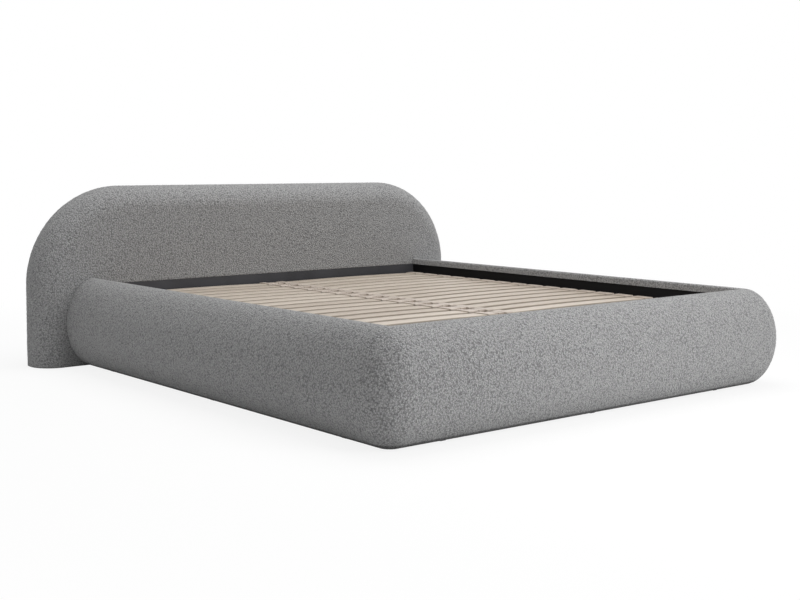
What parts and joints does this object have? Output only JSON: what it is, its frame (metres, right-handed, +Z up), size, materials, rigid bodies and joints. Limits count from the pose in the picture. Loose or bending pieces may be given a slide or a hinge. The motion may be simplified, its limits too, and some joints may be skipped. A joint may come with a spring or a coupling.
{
  "type": "upholstered storage bed",
  "caption": "Grey upholstered double bed with rounded padded rails, an arched padded headboard and a slatted base that lifts over a storage box.",
  "frame": {"origin": "on the floor, in the middle of the bed's overall width and length", "axes": "+X across the bed, to the right seen from the foot end; +Y towards the headboard; +Z up"},
  "size_m": [2.32, 2.3718, 0.778],
  "materials": {
    "boucle": "curled grey boucle upholstery cloth",
    "foam": "soft polyurethane foam",
    "particle_board": "raw particle board",
    "black_board": "particle board faced with black melamine",
    "pine": "planed pine",
    "hardboard": "smooth hardboard",
    "zinc_steel": "zinc plated steel",
    "glide_felt": "pressed dark felt",
    "black_steel": "black powder coat",
    "slat_wood": "pale bonded beech veneer",
    "cap_plastic": "pale beige moulded plastic",
    "chrome_rod": "polished chromed rod"
  },
  "bodies": {
    "bed_frame": {"headboard_cover": "boucle", "headboard_foam": "foam", "headboard_front_board": "particle_board", "headboard_back_board": "particle_board", "headboard_ribs": "particle_board", "head_end_panel": "black_board", "rail_board_left": "black_board", "rail_board_right": "black_board", "rail_board_foot": "black_board", "rail_foam_left": "foam", "rail_foam_right": "foam", "rail_foam_foot": "foam", "rail_cover_left": "boucle", "rail_cover_right": "boucle", "rail_cover_foot": "boucle", "corner_bracket_head_left": "zinc_steel", "corner_bracket_head_right": "zinc_steel", "corner_bracket_foot_left": "zinc_steel", "corner_bracket_foot_right": "zinc_steel", "bracket_bolts": "zinc_steel", "cleat_left": "pine", "cleat_right": "pine", "cleat_foot": "pine", "floor_bearers": "pine", "floor_panel_left": "hardboard", "floor_panel_right": "hardboard", "glides": "glide_felt", "hinge_plate_left": "black_steel", "hinge_plate_right": "black_steel", "hinge_plate_bolts": "zinc_steel", "pivot_pins": "zinc_steel", "strut_studs_lower": "zinc_steel"},
    "slat_base": {"frame_tube_left": "black_steel", "frame_tube_right": "black_steel", "frame_tube_head": "black_steel", "frame_tube_foot": "black_steel", "frame_tube_centre": "black_steel", "frame_tube_cross_left": "black_steel", "frame_tube_cross_right": "black_steel", "lift_arm_left": "black_steel", "lift_arm_right": "black_steel", "slats_left": "slat_wood", "slats_right": "slat_wood", "slat_caps_left": "cap_plastic", "slat_caps_right": "cap_plastic", "slat_caps_centre": "cap_plastic", "strut_studs_upper": "zinc_steel"},
    "left_strut_rod": {"strut_rod_left": "chrome_rod"},
    "left_strut_cylinder": {"strut_cylinder_left": "black_steel"},
    "right_strut_rod": {"strut_rod_right": "chrome_rod"},
    "right_strut_cylinder": {"strut_cylinder_right": "black_steel"}
  },
  "joints": [
    {"name": "base_lift", "type": "hinge", "parent": "bed_frame", "child": "slat_base", "pos_m": [0, 0.891, 0.2797], "axis": [-1, 0, 0], "range_deg": [0, 40]},
    {"name": "left_strut_swing", "type": "hinge", "parent": "bed_frame", "child": "left_strut_rod", "pos_m": [-0.884, 0.891, 0.1597], "axis": [-1, 0, 0], "range_deg": [0, 32]},
    {"name": "left_strut_slide", "type": "slide", "parent": "left_strut_rod", "child": "left_strut_cylinder", "axis": [0, -0.951, 0.3093], "range_m": [0, 0.069]},
    {"name": "right_strut_swing", "type": "hinge", "parent": "bed_frame", "child": "right_strut_rod", "pos_m": [0.884, 0.891, 0.1597], "axis": [-1, 0, 0], "range_deg": [0, 32]},
    {"name": "right_strut_slide", "type": "slide", "parent": "right_strut_rod", "child": "right_strut_cylinder", "axis": [0, -0.951, 0.3093], "range_m": [0, 0.069]}
  ],
  "couplings": [
    {"joint": "left_strut_swing", "follows": "base_lift", "ratio": 0.79947},
    {"joint": "left_strut_slide", "follows": "base_lift", "m_per_rad": 0.098064},
    {"joint": "right_strut_swing", "follows": "base_lift", "ratio": 0.79947},
    {"joint": "right_strut_slide", "follows": "base_lift", "m_per_rad": 0.098064}
  ]
}
